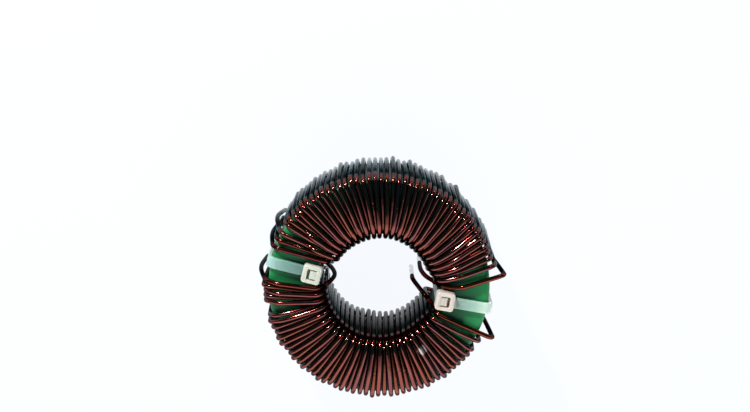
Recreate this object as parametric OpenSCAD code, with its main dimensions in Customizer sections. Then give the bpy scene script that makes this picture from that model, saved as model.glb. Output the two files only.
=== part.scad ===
// Toroidal inductor: a coated ferrite ring with two separate windings of enamelled copper wire,
// kept apart by two nylon cable ties. It lies flat on its back face, with the ties' heads up.
// Millimetres. The ring's axis is Z, the ties are near the X axis, and Z = 0 is the table.

/* [Core] */
// Outside diameter of the coated ring
core_od = 50.8; // [48:0.2:56]
// Bore diameter of the coated ring
core_id = 29; // [28:0.2:31]
// Height of the coated ring
core_h = 21; // [16:0.5:26]
// Radius on the coated ring's four edges
core_edge = 1.2; // [0.8:0.1:1.6]

/* [Wire] */
// Diameter of the wire over its enamel
wire_d = 1.1; // [0.8:0.02:1.1]
// Diameter of the bare, tinned ends
bare_d = 1; // [0.6:0.02:1]
// Gap between the wire and the coating
wire_gap = 0.03; // [0.01:0.01:0.1]
// Rise of every second turn, which climbs over its neighbours where the bore crowds them
nest_rise = 0.95; // [0.9:0.01:1.1]
// Radius of the crown, where a turn stands highest off the front and back
crown_r = 19.8; // [19:0.1:20.4]
// How far a turn bows off the face at its crown
bow = 0.35; // [0.2:0.05:0.5]
// Share of the rise that a climbing turn has at its crown
climb_share = 0.8; // [0.75:0.01:0.9]
// Most that a close turn stands off the ring at its front outer edge
play_front = 0.55; // [0:0.05:0.7]
// Most that a close turn stands off the ring at its back outer edge
play_back = 0.8; // [0:0.05:1]

/* [Upper winding] */
// Angle of the first of the two loose turns beside the right tie
upper_loose = 18.3; // [18:0.1:19]
// Step between those two turns
upper_loose_step = 5.2; // [4.2:0.1:5.4]
// Angle of the first close turn
upper_first = 27.5; // [27:0.1:28]
// Step between close turns
upper_step = 3.06; // [3:0.01:3.08]
// Angle of the first of the three turns beside the left tie
upper_last = 161; // [160:0.1:161.5]
// Step between those three turns
upper_last_step = 4.2; // [3:0.1:4.5]
// How far the climbing turns overhang the bore at its front edge
upper_over = 1.1; // [0.6:0.05:1.15]

/* [Lower winding] */
// Angle of the first of the two loose turns beside the right tie
lower_loose = -12.5; // [-13:0.1:-12]
// Step between those two turns
lower_loose_step = 4.5; // [3:0.1:5]
// Angle of the first close turn
lower_first = -23; // [-24:0.1:-22]
// Step between close turns
lower_step = 3.26; // [3:0.01:3.28]
// Angle of the last turn, beside the left tie, of the five in a tight bunch
lower_last = 187.6; // [187:0.1:188.5]
// Step between the bunched turns
lower_last_step = 2.75; // [2.72:0.01:2.8]
// How far the climbing turns overhang the bore at its front edge
lower_over = 0.6; // [0.3:0.05:0.8]
// Most that they stand into the bore at its back edge, halfway along the winding
lower_foot = 0.95; // [0.3:0.05:1.1]

/* [Wire ends] */
// Height above the table of the two ends that point down
tip_clear = 1; // [0.5:0.1:2]
// Straight tinned length of the upper winding's first end
upper_tin = 5; // [3:0.5:6]
// Straight tinned length of the lower winding's first end
lower_tin = 8.5; // [3:0.5:9]
// Straight tinned length of the two ends that stand up beside the left tie
left_tin = 5.5; // [3:0.5:8]

/* [Cable ties] */
// Width of the strap
strap_w = 2.5; // [2:0.1:3]
// Thickness of the strap
strap_t = 1; // [0.8:0.05:1.2]
// Gap between the strap and the coating
strap_gap = 0.05; // [0.02:0.01:0.2]
// Angle of the right tie
tie_right_at = 2.5; // [1.5:0.1:3]
// Angle of the left tie
tie_left_at = 177.5; // [177:0.1:178]
// How far the right tie's head reaches into the bore
head_right_reach = 1.6; // [1:0.1:1.8]
// How far the left tie's head reaches into the bore
head_left_reach = 0.6; // [0:0.1:1]
// Length of the head along the strap
head_l = 4.6; // [4.2:0.1:5]
// Width of the head
head_w = 4.8; // [4.2:0.1:4.8]
// Height of the head above the coating
head_h = 3; // [2.6:0.1:3.4]
// Radius on the head's edges
head_round = 0.7; // [0.4:0.05:0.8]
// Length of the head's window
window_l = 2.3; // [2:0.05:2.6]
// Width of the window
window_w = 3; // [2.8:0.05:3.2]
// Gap on both sides of the strap's cut end and the catch, inside the window
window_gap = 0.36; // [0.3:0.02:0.5]
// Gap between them and the window's outer wall
tail_gap = 0.8; // [0.4:0.05:1]
// Depth of the cut end below the head's face
tail_drop = 0.35; // [0.2:0.05:0.6]
// Pitch of the ratchet teeth on the inside of the strap
tooth_pitch = 1.1; // [1:0.05:1.4]
// Depth of the ratchet teeth
tooth_depth = 0.25; // [0.15:0.05:0.3]

/* [Hidden] */
$fn = 96;

TURNS = 48;      // turns in each winding
SIDES = 6;       // flats around the wire
FLAT_FILL = 1.045;   // corner radius over the round wire's, so that the flats have its area
core_ro = core_od / 2;
core_ri = core_id / 2;
lay = wire_d / 2 + wire_gap;              // wire centre above the coating
// Back of the ring above the table, which the highest turns touch
z_low = max(nest_rise, nest_rise * climb_share + bow) + lay + wire_d / 2 * FLAT_FILL;
z_mid = z_low + core_h / 2;
z_top = z_low + core_h;
// How far the bore's wall curves in over half the strap's width, so the flat strap stands off it by that much
bore_sag = core_ri - sqrt(core_ri * core_ri - strap_w * strap_w / 4);

// Angles of the turns on the outside wall, from the right tie to the left one
upper_out = [
    for (k = [0 : TURNS - 1])
        k < 2 ? upper_loose + k * upper_loose_step
        : k < TURNS - 3 ? upper_first + (k - 2) * upper_step
        : upper_last + (k - TURNS + 3) * upper_last_step
];
lower_out = [
    for (k = [0 : TURNS - 1])
        k < 2 ? lower_loose - k * lower_loose_step
        : k < TURNS - 5 ? lower_first - (k - 2) * lower_step
        : lower_last + (TURNS - 1 - k) * lower_last_step - 360
];
// Angles of the first, second and last turn at the bore, clear of the ties' heads
upper_in = [15.4, 20.4, 163.8];
lower_in = [-12.4, -17.4, -169.4];

// How far hand winding leaves a turn off its even place, in degrees: outside, in the bunch, and in the bore
wander_out = 0.18;
wander_bunch = 0.05;
wander_in = 0.4;

// Share of the back's play that the first and the last turn have: a coil is looser where it was begun
back_loose = [1.5, 0.5];
// Climbing turns in the bore: stand-off at the back edge, more of it at the upper winding's last turns at the front,
// and the lower winding's turn that stands out most at the back, with the fall from turn to turn beside it
over_back = 0.3;
over_late = 0.2;
late_turn = 34;
foot_turn = 23;
foot_fade = 0.1;

// Loose turns: turn, then how far the wire stands off the outside wall at its front, middle and back
upper_slack = [
    [0, 2.85, 2, 0.9], [1, 1, 1.1, 1], [2, 0.4, 0.9, 1.1], [3, 0.2, 0.8, 1.2], [4, 0.3, 0.8, 1.1], [5, 0.2, 0.6, 0.9],
    [45, 0.2, 2.2, 0.6], [46, 0.1, 0.5, 0.1], [47, 0.2, 1.4, 0.5]
];
lower_slack = [[0, 2.9, 2.1, 0.9], [1, 0.5, 0.5, 0.2], [47, 0.2, 2.4, 1.3]];
// Loose passes in the bore: turn, then how far the wire stands off its layer halfway down
lower_bulge = [[47, 2.7]];
bulge_shoulder = 0.6;    // share of that distance above and below the middle
bulge_half = 0.28;       // height of the shoulders from the middle, as a share of the ring's

// Routes of the four wire ends: distance from the bore's wall, angle, height as a share of the ring's
upper_start = [[4.6, 19.2, 0.45], [3.71, 16.6, 0.663], [1.5, 15.3, 0.88]];
lower_start = [[6.48, 4.3, 0.45], [5.3, -1.9, 0.5], [3.14, -9.6, 0.53], [1.6, -12.2, 0.6], [0.7, -12.4, 0.74]];
// The ends beside the left tie: distance from the bore's wall, angle, height above the wire on the back face
upper_end = [[0.3, 169.4, 0], [2.9, 169.4, 0.1], [3.52, 169.4, 0.8], [3.62, 169.4, 2.2]];
lower_end = [[0.3, 186, 0], [1.85, 184.6, 0], [2.85, 181.2, 0.3], [3.1, 180, 1.1], [3.1, 180, 2.2]];

function unit(v) = v / norm(v);
function polar(r, a, z) = [r * cos(a), r * sin(a), z];
// A small uneven shift between -1 and 1, as in a coil wound by hand
function uneven(k, n) = sin(k * 137.5 + n * 77) * cos(k * 61 + n * 113);
function found(list, k) = let (hit = [for (s = list) if (s[0] == k) s]) len(hit) ? hit[0] : [k, 0, 0, 0];

function out_at(w, k) =
    (w ? lower_out : upper_out)[k] + (w && k > TURNS - 6 ? wander_bunch : wander_out) * uneven(k, w + 1);
function in_at(w, k) =
    let (at = w ? lower_in : upper_in)
    k == 0 ? at[0] :
    at[1] + (at[2] - at[1]) * (k - 1) / (TURNS - 2) + (k > 1 && k < TURNS - 1 ? wander_in * uneven(k, w + 5) : 0);
function rise_at(k) = k % 2 == 0 ? 0 : nest_rise;
// A turn's stand-off from the outside wall: as listed for a loose turn, and a little play for a close one
function slack_at(w, k) =
    let (s = found(w ? lower_slack : upper_slack, k))
    let (loose = back_loose[0] + (back_loose[1] - back_loose[0]) * k / TURNS)
    s[1] > 0 ? s : [k, play_front * abs(uneven(k, w + 9)), 0, play_back * loose * abs(uneven(k, w + 3))];
// How far a climbing turn stands into the bore at the front and the back edge; the first and the last lie close
function over_at(w, k) =
    let (ease = k % 2 == 0 || k < 3 || k > TURNS - 3 ? 0 : min(1, (k - 1) / 4))
    w ? [lower_over * ease, max(over_back, lower_foot - abs(k - foot_turn) * foot_fade) * ease]
    : [(upper_over + (k > late_turn ? over_late : 0)) * ease, over_back * ease];

// A wire's bend at an edge of the ring, as the two corners outside a true quarter arc.
// side_r is 1 outside and -1 in the bore, side_z is 1 at the front and -1 at the back.
// A loose bend moves out whole at the outside, and grows rounder in the bore.
function edge_bend(side_r, side_z, a, lift, off) =
    let (
        moved = side_r > 0 ? off : 0,
        grown = side_r > 0 ? 0 : off,
        reach = (core_edge + lay + lift + grown) / cos(22.5),
        r0 = side_r > 0 ? core_ro - core_edge + moved : core_ri + core_edge,
        z0 = z_mid + side_z * (core_h / 2 - core_edge - grown)
    )
    [for (t = [22.5, 67.5]) polar(r0 + side_r * reach * cos(t), a, z0 + side_z * reach * sin(t))];
function turned(list) = [for (i = [len(list) - 1 : -1 : 0]) list[i]];

// A turn's crown on a face, between its angles in the bore and outside
function crown(side_z, a0, a1, lift) =
    let (share = (crown_r - core_ri) / (core_ro - core_ri))
    polar(crown_r, a0 + (a1 - a0) * share, z_mid + side_z * (core_h / 2 + lay + lift * climb_share + bow));

// One turn: up over the bore's front edge, out across the front, down the outside and in across the back
function turn(w, k) =
    let (
        ai = in_at(w, k),
        ao = out_at(w, k),
        s = slack_at(w, k),
        rise = rise_at(k),
        last = k == TURNS - 1,
        an = last ? ao : in_at(w, k + 1),
        rise_n = last ? 0 : rise_at(k + 1),
        b = found(w ? lower_bulge : [], k + 1)[1]
    )
    concat(
        edge_bend(-1, 1, ai, rise, over_at(w, k)[0]),
        [crown(1, ai, ao, rise)],
        turned(edge_bend(1, 1, ao, 0, s[1])),
        s[2] == 0 ? [] : [polar(core_ro + lay + s[2], ao, z_mid)],
        edge_bend(1, -1, ao, 0, s[3]),
        last ? [] : [crown(-1, an, ao, rise_n)],
        last ? [] : turned(edge_bend(-1, -1, an, rise_n, over_at(w, k + 1)[1])),
        b == 0 || last ? [] : [
            for (t = [-1, 0, 1])
                polar(
                    core_ri - lay - rise_n - b * (t == 0 ? 1 : bulge_shoulder),
                    an,
                    z_mid + t * core_h * bulge_half
                )
        ]
    );

// The whole route of a wire between its tinned ends
function end_column(w) = let (p = (w ? lower_start : upper_start)[0]) polar(core_ri - p[0], p[1], 0);
function route(w) =
    let (
        foot = end_column(w) + [0, 0, tip_clear + (w ? lower_tin : upper_tin)]
    )
    concat(
        [foot],
        [for (p = w ? lower_start : upper_start) polar(core_ri - p[0], p[1], z_low + p[2] * core_h)],
        [for (k = [0 : TURNS - 1]) each turn(w, k)],
        [for (p = w ? lower_end : upper_end) polar(core_ri - p[0], p[1], z_low - lay + p[2])]
    );

// A wire as one skin of rings along its route, mitred at each bend
module wire(path) {
    n = len(path);
    step = [for (i = [0 : n - 2]) unit(path[i + 1] - path[i])];
    along = [for (i = [0 : n - 1]) i == 0 ? step[0] : i == n - 1 ? step[n - 2] : unit(step[i - 1] + step[i])];
    across = [
        for (i = 0, v = unit(cross(along[0], [1, 0.3, 0.2])); i < n;
            i = i + 1, v = i < n ? unit(v - (v * along[i]) * along[i]) : v) v
    ];
    // the rings have the area of the round wire, and the two end rings take the bare wire inside their flats
    r_mean = wire_d / 2 * FLAT_FILL;
    r_end = wire_d / 2 / cos(180 / SIDES);
    points = [
        for (i = [0 : n - 1])
            let (
                bend = i == 0 || i == n - 1 ? [0, 0, 0] : step[i] - step[i - 1],
                toward = norm(bend) < 1e-6 ? [0, 0, 0] : unit(bend),
                stretch = i == 0 || i == n - 1 ? 0 : 1 / (step[i] * along[i]) - 1,
                third = cross(along[i], across[i]),
                r = i == 0 || i == n - 1 ? r_end : r_mean
            )
            for (j = [0 : SIDES - 1])
                let (o = r * (cos(360 * j / SIDES) * across[i] + sin(360 * j / SIDES) * third))
                path[i] + o + stretch * (o * toward) * toward
    ];
    skin = [
        for (i = [0 : n - 2], j = [0 : SIDES - 1])
            let (a = i * SIDES + j, b = i * SIDES + (j + 1) % SIDES)
            each [[a, a + SIDES, b], [b, a + SIDES, b + SIDES]]
    ];
    caps = [[for (j = [0 : SIDES - 1]) j], [for (j = [SIDES - 1 : -1 : 0]) (n - 1) * SIDES + j]];
    polyhedron(points, concat(skin, caps));
}

module winding(w) {
    path = route(w);
    foot = path[0];
    head = path[len(path) - 1];
    tin = w ? lower_tin : upper_tin;
    into = 0.3;
    wire(path);
    translate(foot - [0, 0, tin]) cylinder(d = bare_d, h = tin + into);
    translate(head - [0, 0, into]) cylinder(d = bare_d, h = left_tin + into);
}

// A rectangle with true round corners, from one corner to the other
module rounded(x0, z0, x1, z1, r) {
    translate([x0 + r, z0]) square([x1 - x0 - 2 * r, z1 - z0]);
    translate([x0, z0 + r]) square([x1 - x0, z1 - z0 - 2 * r]);
    for (x = [x0 + r, x1 - r], z = [z0 + r, z1 - r]) translate([x, z]) circle(r);
}

// The strap's inside and outside lines around the ring's section
module strap_line(off) {
    rounded(core_ri - bore_sag - off, z_low - off, core_ro + off, z_top + off, core_edge + off);
}

// The ratchet teeth, on the stretch of strap that went through the head
module teeth() {
    plain = core_edge + tooth_pitch;
    deep = tooth_depth + strap_gap;
    slope = tooth_pitch * 0.6;
    count_up = floor((core_h - 2 * plain) / tooth_pitch);
    count_back = floor((core_ro - core_ri - 2 * plain) / tooth_pitch);
    for (i = [0 : count_up])
        translate([core_ri - bore_sag - deep, z_low + plain + i * tooth_pitch])
            polygon([[0, 0], [2 * deep, 0], [2 * deep, slope]]);
    for (i = [0 : count_back])
        translate([core_ri + plain + i * tooth_pitch, z_low - deep])
            polygon([[0, 0], [slope, 2 * deep], [0, 2 * deep]]);
}

// The head's solid block: three rounded outlines meet in it
module head_block(x0, x1, z0, z1) {
    intersection() {
        translate([0, 0, z0]) linear_extrude(z1 - z0) rounded(x0, -head_w / 2, x1, head_w / 2, head_round);
        translate([0, head_w / 2 + 1, 0]) rotate([90, 0, 0]) linear_extrude(head_w + 2)
            rounded(x0, z0 - 2 * head_round, x1, z1, head_round * 0.6);
        translate([x0 - 1, 0, 0]) rotate([90, 0, 90]) linear_extrude(x1 - x0 + 2)
            rounded(-head_w / 2, z0 - 2 * head_round, head_w / 2, z1, head_round * 0.6);
    }
}

module tie(at, reach) {
    x0 = core_ri - reach;
    x1 = x0 + head_l;
    z0 = z_top + strap_gap;
    z1 = z_top + head_h;
    // the window sits over the middle of the head, and the cut end stands against its bore side
    wx0 = x0 + (head_l - window_l) / 2;
    floor_z = z0 + strap_t * 0.6;
    into = 0.2;
    rotate([0, 0, at]) {
        translate([0, strap_w / 2, 0]) rotate([90, 0, 0]) linear_extrude(strap_w)
            difference() {
                strap_line(strap_gap + strap_t);
                strap_line(strap_gap);
                teeth();
            }
        difference() {
            head_block(x0, x1, z0, z1);
            translate([wx0, -window_w / 2, floor_z]) cube([window_l, window_w, head_h]);
        }
        translate([wx0 - into, -window_w / 2 + window_gap, z0 + into])
            cube([window_l - tail_gap + into, window_w - 2 * window_gap, z1 - tail_drop - z0 - into]);
    }
}

module core() {
    color("seagreen")
        rotate_extrude() rounded(core_ri, z_low, core_ro, z_top, core_edge);
}

module winding_upper() {
    color("saddlebrown") winding(0);
}

module winding_lower() {
    color("saddlebrown") winding(1);
}

module tie_right() {
    color("ivory") tie(tie_right_at, head_right_reach);
}

module tie_left() {
    color("ivory") tie(tie_left_at, head_left_reach);
}

core();
winding_upper();
winding_lower();
tie_right();
tie_left();
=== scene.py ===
"""Toroidal inductor: a green coated ring, two hand-wound coils of enamelled wire and two nylon cable ties.

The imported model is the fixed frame. The wires are drawn again as round tubes along the same routes, the ties
are modelled with their soft edges and ratchet, and the ring keeps its solid and gets its finish here.
Lengths are in metres.
"""
import math

import bpy
from mathutils import Euler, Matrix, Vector


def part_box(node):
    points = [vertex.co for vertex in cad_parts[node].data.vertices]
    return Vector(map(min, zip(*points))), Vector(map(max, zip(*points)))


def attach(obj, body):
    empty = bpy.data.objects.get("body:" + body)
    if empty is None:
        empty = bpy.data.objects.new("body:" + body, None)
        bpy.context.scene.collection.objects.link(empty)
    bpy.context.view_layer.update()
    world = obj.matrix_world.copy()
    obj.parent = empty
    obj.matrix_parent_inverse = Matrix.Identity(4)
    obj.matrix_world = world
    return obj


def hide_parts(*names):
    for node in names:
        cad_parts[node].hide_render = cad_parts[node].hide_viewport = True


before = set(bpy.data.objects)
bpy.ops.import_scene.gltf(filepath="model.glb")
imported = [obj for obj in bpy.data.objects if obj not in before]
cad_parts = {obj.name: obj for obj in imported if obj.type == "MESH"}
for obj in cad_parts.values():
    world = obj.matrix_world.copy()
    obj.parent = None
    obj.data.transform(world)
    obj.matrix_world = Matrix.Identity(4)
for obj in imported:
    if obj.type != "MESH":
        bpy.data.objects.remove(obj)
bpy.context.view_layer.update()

# The ring and the wire
MM = 0.001
RING_LOW, RING_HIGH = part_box("core")
RING_OUT = RING_HIGH.x
RING_BORE = 14.5 * MM
RING_EDGE = 1.2 * MM
RING_BACK = RING_LOW.z
RING_FRONT = RING_HIGH.z
RING_TALL = RING_FRONT - RING_BACK
RING_MID = (RING_FRONT + RING_BACK) / 2
WIRE_D = 1.1 * MM
WIRE_GAP = 0.03 * MM
WIRE_LAY = WIRE_D / 2 + WIRE_GAP
WIRE_RESOLUTION = 4

# The bare ends of the wires
BARE_D = 1.0 * MM
BARE_SIDES = 20
TIP_ROUND, TIP_STEPS = 0.14 * MM, 3
TIP_CLEAR = 1.0 * MM
LEFT_TIN = 5.5 * MM

# The coils: how many turns, how they nest and bow, and how loosely they lie on the outside wall
TURNS = 48
LOOSE_TURNS = 2
NEST_RISE = 0.95 * MM
CLIMB_SHARE = 0.8
FACE_BOW = 0.35 * MM
WALL_BOW = 0.25 * MM
PLAY_FRONT = 0.55 * MM
PLAY_BACK = 0.8 * MM
BACK_LOOSE = (1.5, 0.5)
BULGE_SHOULDER = 0.6
BULGE_HALF = 0.28

# How far from the ring's axis the turns stand highest off the front face
CROWN_AT = 19.8 * MM
CROWN_STRAY = 1.5 * MM
BUNCH_CROWN_AT = 23.0 * MM
FLAT_CROWN_AT = 22.3 * MM
FLAT_TURNS = 14
HIGH_CROWN_AT = 18.3 * MM
HIGH_STRAY = 0.8 * MM
HIGH_BOW = 0.45 * MM
HIGH_TURNS = 8
SAG_AT = 18.2 * MM

# How far the turns stand into the bore at its front and back edges
OVER_FROM = 3
OVER_EASE = 4
UPPER_OVER = 1.1 * MM
UNDER_OVER = 1.0 * MM
LATE_OVER = 0.55 * MM
LATE_FROM, LATE_COUNT = 24, 12
LOWER_OVER = 0.6 * MM
LOWER_FOOT = 0.95 * MM
FOOT_TURN = 23
FOOT_FADE = 0.1 * MM
BACK_OVER = 0.3 * MM

# How far the turns wander, in degrees, and which row of uneven shifts each kind of shift takes
WANDER_OUT = 0.18
WANDER_BUNCH = 0.05
WANDER_BORE = 0.4
ROW_OUT, ROW_BACK, ROW_BORE, ROW_FRONT, ROW_CROWN = 1, 3, 5, 9, 21

# How the wire bends: the corners of a bend at the ring's edge, in degrees, and how corners are rounded
BEND_CORNERS = (22.5, 67.5)
BEND_STEPS = 6
BEND_SHARE = 0.48
BEND_MOST = 6 * MM

# Each coil: angles of its turns outside and in the bore, odd turns, and the routes of its two ends.
# A loose turn has its stand-off from the outside wall at the front, middle and back, in millimetres.
# A bulge stands into the bore, in millimetres, and a sag moves the highest place sideways, in degrees.
# A kink has its distance from the ring's axis, its rise, its run and its drop, in millimetres.
# An end's points are the distance from the bore's wall in millimetres, the angle, and the height.
# The height is a share of the ring's at the start, and in millimetres at the end.
UPPER = {
    "loose": (18.3, 5.2),
    "close": (27.5, 3.06),
    "last": (161.0, 4.2),
    "last_count": 3,
    "bore": (14.4, 20.4, 163.8),
    "slack": {
        0: (2.85, 2, 0.9), 1: (1, 1.1, 1), 2: (0.4, 0.9, 1.1), 3: (0.2, 0.8, 1.2), 4: (0.3, 0.8, 1.1),
        5: (0.2, 0.6, 0.9), 45: (0.2, 2.2, 0.6), 46: (0.1, 0.5, 0.1), 47: (0.2, 1.4, 0.5),
    },
    "bulge": {},
    "sag": {0: -2.8},
    "kink": {43: (20.3, 0.5, 1.9, 1.45), 45: (18.0, 0.5, 1.9, 1.45)},
    "start": [(4.6, 19.2, 0.45), (3.71, 16.6, 0.663), (1.5, 15.3, 0.88)],
    "end": [(0.3, 169.4, 0), (2.9, 169.4, 0.1), (3.52, 169.4, 0.8), (3.62, 169.4, 2.2)],
    "tin": 5.0 * MM,
    "seed": 0,
}
LOWER = {
    "loose": (-12.5, -4.5),
    "close": (-23.0, -3.26),
    "last": (-161.4, -2.75),
    "last_count": 5,
    "bore": (-12.4, -17.4, -169.4),
    "slack": {0: (2.9, 2.1, 0.9), 1: (0.5, 0.5, 0.2), 47: (0.2, 2.4, 1.3)},
    "bulge": {47: 2.7},
    "sag": {},
    "kink": {41: (22.0, 0.35, 2.6, 0.1), 42: (22.7, 0.35, 2.6, 0.1)},
    "start": [
        (6.48, 4.3, 0.45), (5.3, -1.9, 0.5), (3.14, -9.6, 0.53), (1.6, -12.2, 0.6), (0.7, -12.4, 0.74),
    ],
    "end": [(0.3, 186, 0), (1.85, 184.6, 0), (2.85, 181.2, 0.3), (3.1, 180, 1.1), (3.1, 180, 2.2)],
    "tin": 8.5 * MM,
    "seed": 1,
}

# The cable ties
STRAP_W = 2.5 * MM
STRAP_T = 1.0 * MM
STRAP_GAP = 0.05 * MM
STRAP_SOFT, STRAP_STEPS = 0.2 * MM, 3
STRAP_BEND_STEPS = 8
BORE_SAG = RING_BORE - math.sqrt(RING_BORE ** 2 - STRAP_W ** 2 / 4)
HEAD_L, HEAD_W, HEAD_H = 4.3 * MM, 4.2 * MM, 3.0 * MM
HEAD_ROUND, HEAD_STEPS = 0.7 * MM, 5
HEAD_TOP_ROUND, HEAD_TOP_STEPS = 0.42 * MM, 4
HEAD_SOFT, HEAD_SOFT_STEPS = 0.12 * MM, 2
WINDOW_L, WINDOW_W = 2.15 * MM, 2.5 * MM
WINDOW_ROUND, WINDOW_STEPS = 0.2 * MM, 3
WINDOW_FLOOR = STRAP_T * 0.6
TAIL_GAP, TAIL_SIDE = 0.65 * MM, 0.3 * MM
TAIL_DROP = 0.15 * MM
TAIL_SINK = 0.2 * MM
TOOTH_PITCH = 1.1 * MM
TOOTH_DEPTH = 0.25 * MM
TOOTH_SLOPE = 0.66 * MM
RIGHT_TIE = {"degrees": 1.3, "reach": 1.45 * MM, "aside": 0.35 * MM}
LEFT_TIE = {"degrees": 177.5, "reach": 0.85 * MM, "aside": 0.0}

# Edges: shaded smooth under one angle, softened over another, and level within a touch
SMOOTH_UNDER = 40.0
SHARP_OVER = 50.0
TOUCH = MM / 100

# The part of a noise's range that the finishes use
NOISE_SPAN = (0.3, 0.7)

# The first and last turn of each wire, where the coat's reflection is cut down as painted shade so the loose
# end turns show dark, as metres along the wire
PAINTED_DARK_UNTIL = 0.075
PAINTED_DARK_FROM = 3.165
PAINTED_DARK_FADE = 0.02
PAINTED_DARK_SHARE = 0.2

# Painted sheen: the coat's reflection on the walls is set stronger towards the back than near the front edge,
# by height
WALL_PAINTED_SHEEN = (2.2, 0.1)
WALL_HEIGHTS = (RING_BACK + 2.0 * MM, RING_FRONT - 5.0 * MM)
FACE_HEIGHTS = (RING_FRONT - 2.6 * MM, RING_FRONT - 1.2 * MM)

# The scuffed place on the lower coil
SCUFF_AT = (12.65 * MM, -12.03 * MM, 24.7 * MM)
SCUFF_REACH = 1.3 * MM
SCUFF_EDGE = (SCUFF_REACH * 1.5, SCUFF_REACH * 1.2)
SCUFF_TONE = (0.50, 0.44, 0.42, 1)
SCUFF_ROUGH = 0.3

# Where the coating is painted darker as painted shade: towards the bore, and under the turns by the sine of
# the angle
INWARD_SHADE = (24.5 * MM, 17.5 * MM)
INWARD_SHADE_MOST = 0.85
UPPER_SHADE = (0.36, 0.56)
LOWER_SHADE = (-0.22, -0.58)

# Where the nylon is a head, where a strap is painted paler outwards as painted light, and where the left tie's
# painted shade turns into the right's tones
HEAD_ABOVE = (RING_FRONT + 1.1 * MM, RING_FRONT + 1.8 * MM)
HEAD_FOOT = (RING_FRONT, RING_FRONT + 0.3 * MM)
HEAD_INSIDE = (18.1 * MM, 17.6 * MM)
STRAP_PAINTED_LIGHT = (19.0 * MM, 26.6 * MM)
LEFT_SHADE_TO_RIGHT = (-5.0 * MM, 5.0 * MM)

# The photograph's camera
CAMERA_AT = (-0.016986, 0.076934, 0.280827)
CAMERA_TURN = (-12.9985, 0.0561, 11.9506)
CAMERA_LENS = 56.374
CAMERA_SENSOR = 36.0
CAMERA_CLIP = (0.01, 10.0)

# The table, the two lamps, and the room with a bright band round the side across from them
TABLE_SIZE = 3.0
LAMP_AWAY = 0.5
LAMP_TONE = (1.0, 0.98, 0.95)
LOW_LAMP = {"degrees": 85.0, "elevation": 10.0, "size": 0.03, "watts": 0.4}
WINDOW_LAMP = {"degrees": 125.0, "elevation": 27.5, "size": 0.045, "watts": 2.6}
ROOM_TONE = (0.025, 0.11, 0.13, 1)
BRIGHT_SIDE = 282.0
BAND_FROM = (0.20, 0.50)
BAND_TO = (0.90, 1.0)
BAND_GROW_AT = (0.45, 0.95)
BAND_GROWS = (0.85, 1.3)
BAND_LEVEL = 2.3


def polar(radius, degrees, height):
    """A point at an angle round the ring's axis."""
    turn = math.radians(degrees)
    return Vector((radius * math.cos(turn), radius * math.sin(turn), height))


def uneven(k, row):
    """A small shift between -1 and 1 for turn k, as in a coil wound by hand."""
    return math.sin(math.radians(k * 137.5 + row * 77)) * math.cos(math.radians(k * 61 + row * 113))


def outside_angle(coil, k):
    """The angle of turn k on the outside wall."""
    bunched = coil["last_count"]
    if k < LOOSE_TURNS:
        at = coil["loose"][0] + k * coil["loose"][1]
    elif k < TURNS - bunched:
        at = coil["close"][0] + (k - LOOSE_TURNS) * coil["close"][1]
    else:
        at = coil["last"][0] + (k - TURNS + bunched) * coil["last"][1]
    tight = coil is LOWER and k >= TURNS - bunched
    return at + (WANDER_BUNCH if tight else WANDER_OUT) * uneven(k, coil["seed"] + ROW_OUT)


def bore_angle(coil, k):
    """The angle of turn k where it comes up through the bore."""
    first, second, last = coil["bore"]
    if k == 0:
        return first
    at = second + (last - second) * (k - 1) / (TURNS - 2)
    return at + (WANDER_BORE * uneven(k, coil["seed"] + ROW_BORE) if 1 < k < TURNS - 1 else 0)


def nest(k):
    """Every second turn climbs over its neighbours near the bore."""
    return NEST_RISE if k % 2 else 0.0


def overhang(coil, k):
    """How far a turn stands into the bore at the front and the back edge."""
    if k < OVER_FROM or k > TURNS - OVER_FROM:
        return 0.0, 0.0
    ease = min(1, (k - 1) / OVER_EASE)
    if k % 2 == 0:
        return (UNDER_OVER * ease if coil is UPPER else 0.0), 0.0
    if coil is UPPER:
        late = min(1, max(0, (k - LATE_FROM) / LATE_COUNT))
        return (UPPER_OVER + LATE_OVER * late) * ease, BACK_OVER * ease
    foot = LOWER_FOOT - abs(k - FOOT_TURN) * FOOT_FADE
    return LOWER_OVER * ease, max(BACK_OVER, foot) * ease


def edge_bend(outside, front, degrees, lift, off):
    """The two corners outside the quarter arc of a wire at an edge of the ring, from wall to face."""
    side_r = 1 if outside else -1
    side_z = 1 if front else -1
    grown = 0 if outside else off
    reach = (RING_EDGE + WIRE_LAY + lift + grown) / math.cos(math.radians(BEND_CORNERS[0]))
    r0 = RING_OUT - RING_EDGE + off if outside else RING_BORE + RING_EDGE
    z0 = RING_MID + side_z * (RING_TALL / 2 - RING_EDGE - grown)
    corners = []
    for t in BEND_CORNERS:
        across = reach * math.cos(math.radians(t))
        up = reach * math.sin(math.radians(t))
        corners.append(polar(r0 + side_r * across, degrees, z0 + side_z * up))
    return corners


def crown(front, bore_deg, outside_deg, lift, radius=CROWN_AT, sag=0.0, bow=FACE_BOW):
    """Where a turn stands highest off a face."""
    side_z = 1 if front else -1
    share = (radius - RING_BORE) / (RING_OUT - RING_BORE)
    height = RING_MID + side_z * (RING_TALL / 2 + WIRE_LAY + lift * CLIMB_SHARE + bow)
    return polar(radius, bore_deg + (outside_deg - bore_deg) * share + sag, height)


def front_crown(coil, k):
    """How far from the ring's axis turn k stands highest off the front face."""
    climbs = k % 2
    stray = uneven(k, coil["seed"] + ROW_CROWN)
    if k in coil["sag"]:
        return SAG_AT
    if coil is UPPER and k < HIGH_TURNS:
        return HIGH_CROWN_AT + HIGH_STRAY * stray
    if coil is LOWER and climbs and k >= TURNS - coil["last_count"]:
        return BUNCH_CROWN_AT
    flat = coil is UPPER and not climbs and k < FLAT_TURNS
    return (FLAT_CROWN_AT if flat else CROWN_AT) + CROWN_STRAY * stray


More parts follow.
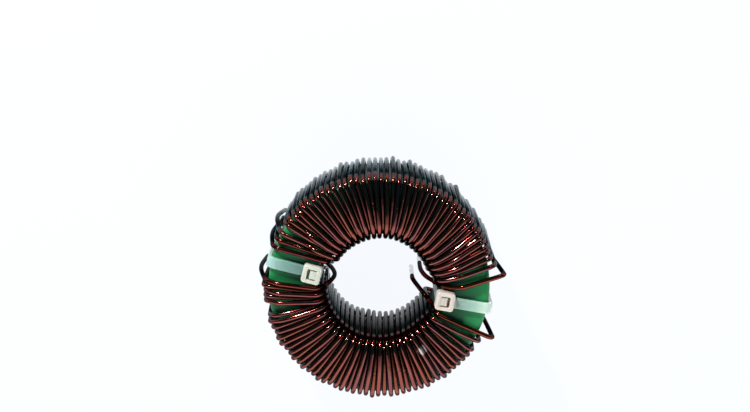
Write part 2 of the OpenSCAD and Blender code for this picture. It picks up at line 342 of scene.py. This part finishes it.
def kink(bore_deg, outside_deg, lift, radius, rise, run, drop):
    """Two corners on the front face, where a turn stands up and then drops or runs level."""
    top = crown(True, bore_deg, outside_deg, lift, (radius - run / 2) * MM)
    foot = crown(True, bore_deg, outside_deg, lift, (radius + run / 2) * MM)
    return [top + Vector((0, 0, rise * MM)), foot + Vector((0, 0, (rise - drop) * MM))]


def wall_play(coil, k):
    """How far turn k stands off the outside wall at the front, middle and back."""
    if k in coil["slack"]:
        return [s * MM for s in coil["slack"][k]]
    front = PLAY_FRONT * abs(uneven(k, coil["seed"] + ROW_FRONT))
    loose = BACK_LOOSE[0] + (BACK_LOOSE[1] - BACK_LOOSE[0]) * k / TURNS
    back = PLAY_BACK * loose * abs(uneven(k, coil["seed"] + ROW_BACK))
    return [front, (front + back) / 2 + WALL_BOW, back]


def turn_points(coil, k):
    """One turn: up over the bore's front edge, across the front, down the outside and in across the back."""
    inner, outer = bore_angle(coil, k), outside_angle(coil, k)
    front_off, mid_off, back_off = wall_play(coil, k)
    points = edge_bend(False, True, inner, nest(k), overhang(coil, k)[0])
    if k in coil["kink"]:
        points += kink(inner, outer, nest(k), *coil["kink"][k])
    else:
        bow = FACE_BOW + (HIGH_BOW if coil is UPPER and k < HIGH_TURNS else 0)
        sag = coil["sag"].get(k, 0.0)
        points.append(crown(True, inner, outer, nest(k), front_crown(coil, k), sag, bow))
    points += edge_bend(True, True, outer, 0, front_off)[::-1]
    points.append(polar(RING_OUT + WIRE_LAY + mid_off, outer, RING_MID))
    points += edge_bend(True, False, outer, 0, back_off)
    if k == TURNS - 1:
        return points
    inner, lift = bore_angle(coil, k + 1), nest(k + 1)
    points.append(crown(False, inner, outer, lift))
    points += edge_bend(False, False, inner, lift, overhang(coil, k + 1)[1])[::-1]
    bulge = coil["bulge"].get(k + 1, 0) * MM
    if bulge:
        for t in (-1, 0, 1):
            radius = RING_BORE - WIRE_LAY - lift - bulge * (BULGE_SHOULDER if t else 1)
            points.append(polar(radius, inner, RING_MID + t * RING_TALL * BULGE_HALF))
    return points


def wire_route(coil):
    """The corners of a wire's route between its bare ends."""
    inset, degrees, _ = coil["start"][0]
    points = [polar(RING_BORE - inset * MM, degrees, TIP_CLEAR + coil["tin"])]
    for inset, degrees, share in coil["start"]:
        points.append(polar(RING_BORE - inset * MM, degrees, RING_BACK + share * RING_TALL))
    for k in range(TURNS):
        points += turn_points(coil, k)
    for inset, degrees, above in coil["end"]:
        points.append(polar(RING_BORE - inset * MM, degrees, RING_BACK - WIRE_LAY + above * MM))
    return points


def eased(points):
    """The same route with every corner rounded, as a wire bends."""
    line = [points[0]]
    for a, b, c in zip(points, points[1:], points[2:]):
        reach = min(BEND_SHARE * min((a - b).length, (c - b).length), BEND_MOST)
        into = b + (a - b).normalized() * reach
        out = b + (c - b).normalized() * reach
        for i in range(BEND_STEPS):
            s = i / (BEND_STEPS - 1)
            line.append((1 - s) ** 2 * into + 2 * s * (1 - s) * b + s * s * out)
    line.append(points[-1])
    return line


def deselect():
    """Clears the selection."""
    bpy.ops.object.select_all(action="DESELECT")


def only(obj):
    """Selects one object alone and makes it the active one."""
    deselect()
    obj.select_set(True)
    bpy.context.view_layer.objects.active = obj


def edit(obj, kind):
    """Opens one object for editing, with all of it selected."""
    only(obj)
    bpy.ops.object.mode_set(mode="EDIT")
    bpy.ops.mesh.select_mode(type=kind)
    bpy.ops.mesh.select_all(action="SELECT")


def close_edit():
    """Turns all faces outwards and ends the editing."""
    bpy.ops.mesh.select_all(action="SELECT")
    bpy.ops.mesh.normals_make_consistent(inside=False)
    bpy.ops.object.mode_set(mode="OBJECT")


def block(name, low, high):
    """A plain block from one corner to the other."""
    deselect()
    low, high = Vector(low), Vector(high)
    bpy.ops.mesh.primitive_cube_add(size=1, location=(low + high) / 2, scale=high - low)
    obj = bpy.context.object
    obj.name = name
    bpy.ops.object.transform_apply(location=True, rotation=True, scale=True)
    return obj


def upright(a, b):
    """Whether an edge stands upright, by more than a millimetre."""
    return abs(a.z - b.z) > MM


def soften(obj, test, width, steps):
    """Bevels the edges whose two ends pass a test."""
    edit(obj, "EDGE")
    bpy.ops.mesh.select_all(action="DESELECT")
    bpy.ops.object.mode_set(mode="OBJECT")
    points = obj.data.vertices
    for edge in obj.data.edges:
        edge.select = test(*(points[i].co for i in edge.vertices))
    bpy.ops.object.mode_set(mode="EDIT")
    bpy.ops.mesh.bevel(offset=width, segments=steps, affect="EDGES", profile=0.5)
    close_edit()


def soften_sharp(obj, width, steps):
    """Bevels every sharp edge."""
    only(obj)
    bevel = obj.modifiers.new("soft edges", "BEVEL")
    bevel.width = width
    bevel.segments = steps
    bevel.limit_method = "ANGLE"
    bevel.angle_limit = math.radians(SHARP_OVER)
    bpy.ops.object.modifier_apply(modifier=bevel.name)


def combine(obj, other, how):
    """Cuts another shape from an object, or joins it on."""
    only(obj)
    both = obj.modifiers.new(how, "BOOLEAN")
    both.operation = how
    both.solver = "EXACT"
    both.object = other
    bpy.ops.object.modifier_apply(modifier=both.name)
    only(other)
    bpy.ops.object.delete()


def paint(obj, material):
    """Gives a piece its one finish."""
    obj.data.materials.clear()
    obj.data.materials.append(material)


def seat(obj, body, slot, *nodes):
    """Puts a finished piece on the body it rides on and hides the solid that it stands for. The slot is not
    used.
    """
    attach(obj, body)
    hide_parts(*nodes)


def draw_wire(name, line, material):
    """A round wire along a line, as a mesh that knows how far along the wire each point is."""
    curve = bpy.data.curves.new(name, "CURVE")
    curve.dimensions = "3D"
    curve.bevel_depth = WIRE_D / 2
    curve.bevel_resolution = WIRE_RESOLUTION
    curve.use_fill_caps = True
    spline = curve.splines.new("POLY")
    spline.points.add(len(line) - 1)
    for place, p in zip(spline.points, line):
        place.co = (*p, 1)
    obj = bpy.data.objects.new(name, curve)
    bpy.context.scene.collection.objects.link(obj)
    only(obj)
    bpy.ops.object.convert(target="MESH")
    obj = bpy.context.object
    bpy.ops.object.shade_smooth()
    run = [0.0]
    for a, b in zip(line, line[1:]):
        run.append(run[-1] + (b - a).length)
    sides = len(obj.data.vertices) // len(line)
    along = obj.data.attributes.new("along_wire", "FLOAT", "POINT")
    for i in range(len(obj.data.vertices)):
        along.data[i].value = run[min(i // sides, len(run) - 1)]
    paint(obj, material)
    return obj


def draw_bare_end(name, foot, length, up, material):
    """A bare tinned end: a rod with rounded rims, up or down from where the enamel stops."""
    side = 1 if up else -1
    middle = foot + Vector((0, 0, side * length / 2))
    deselect()
    bpy.ops.mesh.primitive_cylinder_add(
        vertices=BARE_SIDES, radius=BARE_D / 2, depth=length, location=middle,
    )
    obj = bpy.context.object
    obj.name = obj.data.name = name
    bpy.ops.object.transform_apply(location=True, rotation=True, scale=True)
    soften_sharp(obj, TIP_ROUND, TIP_STEPS)
    bpy.ops.object.shade_smooth_by_angle(angle=math.radians(SMOOTH_UNDER))
    paint(obj, material)
    return obj


def wind(name, node, coil, enamel, tin):
    """One coil: its wire and its two bare ends."""
    corners = wire_route(coil)
    wire = draw_wire(name, eased(corners), enamel)
    seat(wire, "root", "enamelled_wire", node)
    for which, foot, length, up in (
        ("first_end", corners[0], coil["tin"], False),
        ("last_end", corners[-1], LEFT_TIN, True),
    ):
        end = draw_bare_end(f"{name}_{which}", foot, length, up, tin)
        seat(end, "root", "enamelled_wire", node)


def strap_loop(name):
    """The strap as a closed loop round the ring's section, with soft edges."""
    off = STRAP_GAP + STRAP_T
    x0, x1 = RING_BORE - BORE_SAG - off, RING_OUT + off
    z0, z1 = RING_BACK - off, RING_FRONT + off
    deselect()
    bpy.ops.mesh.primitive_plane_add(
        size=1, location=((x0 + x1) / 2, 0, (z0 + z1) / 2), rotation=(math.radians(90), 0, 0),
    )
    obj = bpy.context.object
    obj.name = name
    obj.scale = (x1 - x0, z1 - z0, 1)
    bpy.ops.object.transform_apply(location=True, rotation=True, scale=True)
    edit(obj, "VERT")
    bpy.ops.mesh.bevel(
        offset=RING_EDGE + off, segments=STRAP_BEND_STEPS, affect="VERTICES", profile=0.5,
    )
    bpy.ops.mesh.select_mode(type="FACE")
    bpy.ops.mesh.select_all(action="SELECT")
    bpy.ops.mesh.inset(thickness=STRAP_T, use_even_offset=True)
    bpy.ops.mesh.delete(type="FACE")
    bpy.ops.mesh.select_all(action="SELECT")
    bpy.ops.mesh.extrude_region_move(TRANSFORM_OT_translate={"value": (0, STRAP_W, 0)})
    bpy.ops.mesh.select_all(action="SELECT")
    bpy.ops.transform.translate(value=(0, -STRAP_W / 2, 0))
    close_edit()
    soften_sharp(obj, STRAP_SOFT, STRAP_STEPS)
    return obj


def ratchet(corner, size, gone, step, count):
    """A row of wedges that cuts the ratchet teeth: a block without one of its long edges, repeated."""
    low = Vector(corner)
    obj = block("ratchet", low, low + Vector(size))
    edit(obj, "VERT")
    bpy.ops.mesh.select_all(action="DESELECT")
    bpy.ops.object.mode_set(mode="OBJECT")
    for point in obj.data.vertices:
        point.select = gone(point.co - low)
    bpy.ops.object.mode_set(mode="EDIT")
    bpy.ops.mesh.delete(type="VERT")
    bpy.ops.mesh.select_all(action="SELECT")
    bpy.ops.mesh.convex_hull()
    close_edit()
    row = obj.modifiers.new("row", "ARRAY")
    row.count = count
    row.use_relative_offset = False
    row.use_constant_offset = True
    row.constant_offset_displace = step
    bpy.ops.object.modifier_apply(modifier=row.name)
    return obj


def cut_ratchet(strap):
    """The teeth on the inside of the strap, in the bore and along the back."""
    plain = RING_EDGE + TOOTH_PITCH
    deep = TOOTH_DEPTH + STRAP_GAP
    side = -STRAP_W
    up = ratchet(
        (RING_BORE - BORE_SAG - deep, side, RING_BACK + plain), (2 * deep, 2 * STRAP_W, TOOTH_SLOPE),
        lambda p: p.x < deep and p.z > TOOTH_SLOPE / 2,
        (0, 0, TOOTH_PITCH), int((RING_TALL - 2 * plain) / TOOTH_PITCH) + 1,
    )
    combine(strap, up, "DIFFERENCE")
    out = ratchet(
        (RING_BORE + plain, side, RING_BACK - deep), (TOOTH_SLOPE, 2 * STRAP_W, 2 * deep),
        lambda p: p.x > TOOTH_SLOPE / 2 and p.z < deep,
        (TOOTH_PITCH, 0, 0), int((RING_OUT - RING_BORE - 2 * plain) / TOOTH_PITCH) + 1,
    )
    combine(strap, out, "DIFFERENCE")


def tie_head(name, reach, aside):
    """The head: a rounded block with its window, and the strap's cut end standing in it."""
    x0 = RING_BORE - reach
    z0, z1 = RING_FRONT + STRAP_GAP, RING_FRONT + HEAD_H
    head = block(name, (x0, aside - HEAD_W / 2, z0), (x0 + HEAD_L, aside + HEAD_W / 2, z1))
    soften(head, upright, HEAD_ROUND, HEAD_STEPS)
    soften(head, lambda a, b: min(a.z, b.z) > z1 - TOUCH, HEAD_TOP_ROUND, HEAD_TOP_STEPS)
    w0 = x0 + (HEAD_L - WINDOW_L) / 2
    window = block(
        "window", (w0, aside - WINDOW_W / 2, z0 + WINDOW_FLOOR),
        (w0 + WINDOW_L, aside + WINDOW_W / 2, z1 + HEAD_H),
    )
    soften(window, upright, WINDOW_ROUND, WINDOW_STEPS)
    combine(head, window, "DIFFERENCE")
    soften_sharp(head, HEAD_SOFT, HEAD_SOFT_STEPS)
    tail = block(
        "cut end", (w0 - TAIL_SINK, aside + TAIL_SIDE - WINDOW_W / 2, z0 + TAIL_SINK),
        (w0 + WINDOW_L - TAIL_GAP, aside + WINDOW_W / 2 - TAIL_SIDE, z1 - TAIL_DROP),
    )
    soften_sharp(tail, HEAD_SOFT, HEAD_SOFT_STEPS)
    combine(head, tail, "UNION")
    return head


def make_tie(name, node, material, degrees, reach, aside):
    """One cable tie, drawn tight round the ring."""
    tie = strap_loop(name)
    cut_ratchet(tie)
    combine(tie, tie_head("head", reach, aside), "UNION")
    only(tie)
    tie.rotation_euler.z = math.radians(degrees)
    bpy.ops.object.transform_apply(location=True, rotation=True, scale=True)
    bpy.ops.object.shade_smooth_by_angle(angle=math.radians(SMOOTH_UNDER))
    paint(tie, material)
    seat(tie, "root", "nylon", node)


def fill(tree, node, inputs):
    """Links the inputs that are given a socket, and sets any other value on them."""
    for key, value in inputs.items():
        socket = node.inputs[key]
        if isinstance(value, bpy.types.NodeSocket):
            tree.links.new(value, socket)
        else:
            socket.default_value = value


def add_node(tree, kind, inputs=None, **settings):
    """Adds a node with its settings and inputs."""
    made = tree.nodes.new(kind)
    for name, value in settings.items():
        setattr(made, name, value)
    fill(tree, made, inputs or {})
    return made


def maths(tree, operation, *values):
    """One value worked out from others."""
    return add_node(tree, "ShaderNodeMath", dict(enumerate(values)), operation=operation).outputs[0]


def vector_maths(tree, operation, *vectors):
    """The outputs of a node that works on vectors."""
    return add_node(tree, "ShaderNodeVectorMath", dict(enumerate(vectors)), operation=operation).outputs


def colour_ramp(tree, value, stops):
    """A ramp from a value to colours."""
    ramp = add_node(tree, "ShaderNodeValToRGB", {"Fac": value})
    while len(ramp.color_ramp.elements) < len(stops):
        ramp.color_ramp.elements.new(1.0)
    for element, (at, colour) in zip(ramp.color_ramp.elements, stops):
        element.position = at
        element.color = (*colour, 1)
    return ramp.outputs["Color"]


def value_range(tree, value, low, high, to_low=0.0, to_high=1.0):
    """Maps a value from one range to another, clamped."""
    spread = {"Value": value, "From Min": low, "From Max": high, "To Min": to_low, "To Max": to_high}
    return add_node(tree, "ShaderNodeMapRange", spread).outputs["Result"]


def mixed(tree, share, a, b, how="MIX"):
    """Two colours mixed by a share."""
    colours = {0: share, 6: a, 7: b}
    return add_node(tree, "ShaderNodeMix", colours, data_type="RGBA", blend_type=how).outputs[2]


def multiplied(tree, a, b):
    """One colour times another."""
    return mixed(tree, 1.0, a, b, "MULTIPLY")


def bumped(tree, height, strength, distance, under=None):
    """A bump from a height, on top of another bump if there is one."""
    inputs = {"Height": height, "Strength": strength, "Distance": distance}
    if under is not None:
        inputs["Normal"] = under
    return add_node(tree, "ShaderNodeBump", inputs).outputs["Normal"]


def object_place(tree):
    """The place of a point on a piece."""
    return add_node(tree, "ShaderNodeTexCoord").outputs["Object"]


def place_axes(tree):
    """The same place as X, Y and Z."""
    return add_node(tree, "ShaderNodeSeparateXYZ", {0: object_place(tree)}).outputs


def off_axis(tree):
    """The distance from the ring's axis."""
    flat = vector_maths(tree, "MULTIPLY", object_place(tree), (1, 1, 0))["Vector"]
    return vector_maths(tree, "LENGTH", flat)["Value"]


def new_material(name):
    """A material with a Principled shader, and that shader."""
    material = bpy.data.materials.new(name)
    material.use_nodes = True
    return material, material.node_tree, material.node_tree.nodes["Principled BSDF"]


def mottle_group():
    """Uneven tone at two scales, for finishes that are never quite even."""
    tree = bpy.data.node_groups.new("Uneven finish", "ShaderNodeTree")
    for name, start in (("Broad", 120.0), ("Fine", 2500.0)):
        socket = tree.interface.new_socket(name, in_out="INPUT", socket_type="NodeSocketFloat")
        socket.default_value = start
    for name in ("Clouds", "Grain"):
        tree.interface.new_socket(name, in_out="OUTPUT", socket_type="NodeSocketFloat")
    given = tree.nodes.new("NodeGroupInput")
    out = tree.nodes.new("NodeGroupOutput")
    place = object_place(tree)
    for size, result in (("Broad", "Clouds"), ("Fine", "Grain")):
        inputs = {"Vector": place, "Scale": given.outputs[size], "Detail": 4.0, "Roughness": 0.6}
        noise = add_node(tree, "ShaderNodeTexNoise", inputs)
        tree.links.new(noise.outputs["Fac"], out.inputs[result])
    return tree


def use_mottle(tree, group, broad, fine):
    """Places the uneven finish in a material."""
    placed = add_node(tree, "ShaderNodeGroup", {"Broad": broad, "Fine": fine}, node_tree=group)
    return placed.outputs["Clouds"], placed.outputs["Grain"]


def noise_along(tree, along, scale, detail):
    """A noise that changes along a wire."""
    inputs = {"W": along, "Scale": scale, "Detail": detail}
    return add_node(tree, "ShaderNodeTexNoise", inputs, noise_dimensions="1D").outputs["Fac"]


def scuffed(tree, grain):
    """1 at the scuffed place and 0 beyond its reach, with a ragged edge."""
    away = vector_maths(tree, "DISTANCE", object_place(tree), SCUFF_AT)["Value"]
    ragged = maths(tree, "MULTIPLY_ADD", grain, SCUFF_REACH, away)
    return value_range(tree, ragged, *SCUFF_EDGE)


def painted_wall_sheen(tree):
    """Painted sheen: the coat's reflection set by height, plain on the front face, and weaker up the walls
    towards it.
    """
    height = place_axes(tree)["Z"]
    wall = value_range(tree, height, *WALL_HEIGHTS, *WALL_PAINTED_SHEEN)
    face = value_range(tree, height, *FACE_HEIGHTS)
    return maths(tree, "MAXIMUM", wall, face)


def make_enamel(group):
    """Red-brown wire enamel over copper: a tinted metal under a clear glossy coat, whose reflection is
    painted: cut down as painted shade on the end turns, and set by height on the walls as painted sheen.
    """
    material, tree, shader = new_material("red-brown wire enamel")
    clouds, grain = use_mottle(tree, group, 260.0, 5000.0)
    along = add_node(tree, "ShaderNodeAttribute", attribute_name="along_wire").outputs["Fac"]
    stretch = noise_along(tree, along, 22.0, 2.0)
    waves = noise_along(tree, along, 400.0, 1.0)
    tone = colour_ramp(tree, stretch, [
        (0.3, (0.120, 0.016, 0.016)),
        (0.5, (0.155, 0.027, 0.019)),
        (0.7, (0.180, 0.042, 0.020)),
    ])
    dark = colour_ramp(tree, clouds, [(0.3, (0.7, 0.7, 0.7)), (0.7, (1.0, 1.0, 1.0))])
    scuff = scuffed(tree, grain)
    smooth = value_range(tree, clouds, *NOISE_SPAN, 0.12, 0.16)
    lumps = bumped(tree, waves, 1.0, 0.06 * MM)
    coat = value_range(tree, stretch, 0.35, 0.65, 0.46, 0.22)
    for share in (
        value_range(tree, scuff, 0.0, 1.0, 1.0, 0.0),
        # Painted shade: the coat's reflection is cut on the first and last turn.
        value_range(tree, along, PAINTED_DARK_UNTIL, PAINTED_DARK_UNTIL + PAINTED_DARK_FADE, PAINTED_DARK_SHARE, 1.0),
        value_range(tree, along, PAINTED_DARK_FROM, PAINTED_DARK_FROM + PAINTED_DARK_FADE, 1.0, PAINTED_DARK_SHARE),
        # Painted sheen: the coat's reflection is set by height on the walls.
        painted_wall_sheen(tree),
    ):
        coat = maths(tree, "MULTIPLY", coat, share)
    fill(tree, shader, {
        "Base Color": mixed(tree, scuff, multiplied(tree, tone, dark), SCUFF_TONE),
        "Roughness": maths(tree, "MULTIPLY_ADD", scuff, SCUFF_ROUGH, smooth),
        "Normal": bumped(tree, grain, 0.01, 0.05 * MM, lumps),
        "Metallic": 1.0,
        "Specular Tint": (0.02, 0.20, 0.24, 1),
        "Coat Weight": coat,
        "Coat Roughness": 0.05,
        "Coat IOR": 1.7,
    })
    return material


def make_tin(group):
    """Solder-dipped wire: bright grey metal with a slightly lumpy skin."""
    material, tree, shader = new_material("tinned wire end")
    clouds, grain = use_mottle(tree, group, 900.0, 6000.0)
    grey = colour_ramp(tree, clouds, [
        (0.38, (0.10, 0.11, 0.11)),
        (0.46, (0.74, 0.74, 0.72)),
        (0.7, (0.88, 0.88, 0.86)),
    ])
    fill(tree, shader, {
        "Base Color": grey,
        "Roughness": value_range(tree, grain, *NOISE_SPAN, 0.22, 0.4),
        "Normal": bumped(tree, clouds, 0.3, 0.1 * MM),
        "Metallic": 1.0,
    })
    return material


def painted_shade_under_turns(tree):
    """0 on the open stretches beside the ties, and 1 under the turns, where the coating is painted darker as
    shade between the wires.
    """
    place = place_axes(tree)
    across = maths(tree, "SINE", maths(tree, "ARCTAN2", place["Y"], place["X"]))
    upper = value_range(tree, across, *UPPER_SHADE)
    lower = value_range(tree, across, *LOWER_SHADE)
    return maths(tree, "MAXIMUM", upper, lower)


def make_coating(group):
    """The ring's green powder coating: satin, with a faint orange-peel skin, and painted shade under the turns
    and towards the bore.
    """
    material, tree, shader = new_material("green ring coating")
    clouds, grain = use_mottle(tree, group, 160.0, 1800.0)
    clean = colour_ramp(tree, clouds, [(0.3, (0.011, 0.21, 0.056)), (0.7, (0.018, 0.29, 0.086))])
    # Painted shade: the green is darkened towards the bore and under the turns, down to the near-black green
    # below.
    inward_shade = value_range(tree, off_axis(tree), *INWARD_SHADE, 0.0, INWARD_SHADE_MOST)
    painted_shade = maths(tree, "MAXIMUM", painted_shade_under_turns(tree), inward_shade)
    fill(tree, shader, {
        "Base Color": mixed(tree, painted_shade, clean, (0.003, 0.045, 0.024, 1)),
        "Roughness": value_range(tree, grain, *NOISE_SPAN, 0.3, 0.42),
        "Normal": bumped(tree, grain, 0.12, 0.1 * MM),
        "Specular IOR Level": 0.3,
    })
    return material


def make_nylon(group):
    """Natural nylon: milky, with the ring's green showing through the thin strap but not the head, painted
    light paling the strap outwards to near white, and painted shade making the left tie darker and greener
    than the right.
    """
    material, tree, shader = new_material("natural nylon")
    clouds, grain = use_mottle(tree, group, 400.0, 4000.0)
    place = place_axes(tree)
    outward = off_axis(tree)
    out_of_left_shade = value_range(tree, place["X"], *LEFT_SHADE_TO_RIGHT)
    # Painted light: the strap is painted paler from the head outwards, near white at its outer bend.
    strap = colour_ramp(tree, value_range(tree, outward, *STRAP_PAINTED_LIGHT), [
        (0.0, (0.31, 0.45, 0.39)),
        (0.45, (0.43, 0.62, 0.53)),
        (0.85, (0.73, 0.88, 0.78)),
        (1.0, (0.96, 0.97, 0.95)),
    ])
    # Painted shade: the left tie is painted darker and greener than the right; both are one nylon.
    strap_painted_shade = colour_ramp(tree, out_of_left_shade, [(0.0, (0.52, 0.65, 0.67)), (1.0, (1.0, 1.0, 1.0))])
    milky = colour_ramp(tree, clouds, [(0.3, (0.92, 0.93, 0.92)), (0.7, (1.0, 1.0, 1.0))])
    thin = multiplied(tree, multiplied(tree, strap, strap_painted_shade), milky)
    head = colour_ramp(tree, clouds, [(0.3, (0.66, 0.60, 0.53)), (0.7, (0.71, 0.65, 0.58))])
    head_painted_shade = colour_ramp(tree, out_of_left_shade, [(0.0, (0.91, 1.0, 0.98)), (1.0, (1.0, 0.96, 0.98))])
    thick = multiplied(tree, head, head_painted_shade)
    inside = value_range(tree, outward, *HEAD_INSIDE)
    foot = value_range(tree, place["Z"], *HEAD_FOOT)
    above = value_range(tree, place["Z"], *HEAD_ABOVE)
    is_head = maths(tree, "MAXIMUM", above, maths(tree, "MULTIPLY", inside, foot))
    fill(tree, shader, {
        "Base Color": mixed(tree, is_head, thin, thick),
        "Roughness": value_range(tree, grain, *NOISE_SPAN, 0.35, 0.5),
        "Normal": bumped(tree, grain, 0.1, 0.1 * MM),
        "Subsurface Weight": 0.8,
        "Subsurface Radius": (1.0, 1.0, 0.8),
        "Subsurface Scale": 1.4 * MM,
    })
    return material


def seen_or_mirrored(tree):
    """1 for what the camera sees straight, in a gloss or through a clear thing, and 0 for plain light."""
    path = add_node(tree, "ShaderNodeLightPath").outputs
    seen = maths(tree, "MAXIMUM", path["Is Camera Ray"], path["Is Glossy Ray"])
    return maths(tree, "MAXIMUM", seen, path["Is Transmission Ray"])


def make_floor():
    """A white table that stays white in the picture and keeps a soft shadow."""
    deselect()
    bpy.ops.mesh.primitive_plane_add(size=TABLE_SIZE, location=(0, 0, 0))
    floor = bpy.context.object
    floor.name = "white_table"
    material = bpy.data.materials.new("white table")
    material.use_nodes = True
    tree = material.node_tree
    tree.nodes.clear()
    plain = add_node(tree, "ShaderNodeBsdfDiffuse", {"Color": (0.8, 0.81, 0.82, 1)})
    faint = add_node(tree, "ShaderNodeBsdfDiffuse", {"Color": (0.06, 0.06, 0.06, 1)})
    glow = add_node(tree, "ShaderNodeEmission", {"Color": (0.915, 0.94, 0.985, 1), "Strength": 1.0})
    white = add_node(tree, "ShaderNodeAddShader", {0: faint.outputs[0], 1: glow.outputs[0]})
    both = {0: seen_or_mirrored(tree), 1: plain.outputs[0], 2: white.outputs[0]}
    mix = add_node(tree, "ShaderNodeMixShader", both)
    add_node(tree, "ShaderNodeOutputMaterial", {"Surface": mix.outputs[0]})
    paint(floor, material)


def make_room():
    """A dim room with a wide bright band overhead, on the side across from the lamps."""
    world = bpy.data.worlds.new("room")
    bpy.context.scene.world = world
    world.use_nodes = True
    tree = world.node_tree
    tree.nodes.clear()
    way = add_node(tree, "ShaderNodeTexCoord").outputs["Generated"]
    facing = vector_maths(tree, "DOT_PRODUCT", way, polar(1.0, BRIGHT_SIDE, 0.0))["Value"]
    begins = value_range(tree, facing, *BAND_FROM)
    ends = value_range(tree, facing, *BAND_TO, 1.0, 0.0)
    grows = value_range(tree, facing, *BAND_GROW_AT, *BAND_GROWS)
    band = maths(tree, "MULTIPLY", maths(tree, "MULTIPLY", begins, ends), grows)
    shade = mixed(tree, band, ROOM_TONE, (BAND_LEVEL, BAND_LEVEL, BAND_LEVEL, 1))
    back = add_node(tree, "ShaderNodeBackground", {"Color": shade, "Strength": 1.0})
    add_node(tree, "ShaderNodeOutputWorld", {"Surface": back.outputs[0]})


def add_lamp(name, degrees, elevation, size, watts):
    """A soft square lamp that faces the part."""
    lamp = bpy.data.lights.new(name, "AREA")
    lamp.shape = "RECTANGLE"
    lamp.size = lamp.size_y = size
    lamp.energy = watts
    lamp.color = LAMP_TONE
    obj = bpy.data.objects.new(name, lamp)
    bpy.context.scene.collection.objects.link(obj)
    rise = math.radians(elevation)
    obj.location = polar(LAMP_AWAY * math.cos(rise), degrees, LAMP_AWAY * math.sin(rise) + RING_MID)
    aim = Vector((0, 0, RING_MID)) - obj.location
    obj.rotation_euler = aim.to_track_quat("-Z", "Y").to_euler()


def make_camera():
    """The photograph's view."""
    data = bpy.data.cameras.new("camera")
    data.lens = CAMERA_LENS
    data.sensor_width = CAMERA_SENSOR
    data.clip_start, data.clip_end = CAMERA_CLIP
    camera = bpy.data.objects.new("camera", data)
    bpy.context.scene.collection.objects.link(camera)
    camera.location = CAMERA_AT
    camera.rotation_euler = Euler([math.radians(a) for a in CAMERA_TURN], "XYZ")
    bpy.context.scene.camera = camera


uneven_finish = mottle_group()
enamel = make_enamel(uneven_finish)
tin = make_tin(uneven_finish)
nylon = make_nylon(uneven_finish)
paint(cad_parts["core"], make_coating(uneven_finish))
make_tie("right_cable_tie", "tie_right", nylon, **RIGHT_TIE)
make_tie("left_cable_tie", "tie_left", nylon, **LEFT_TIE)
wind("upper_coil", "winding_upper", UPPER, enamel, tin)
wind("lower_coil", "winding_lower", LOWER, enamel, tin)
make_floor()
make_room()
add_lamp("low_lamp", **LOW_LAMP)
add_lamp("window", **WINDOW_LAMP)
make_camera()
bpy.context.scene.view_settings.view_transform = "Standard"
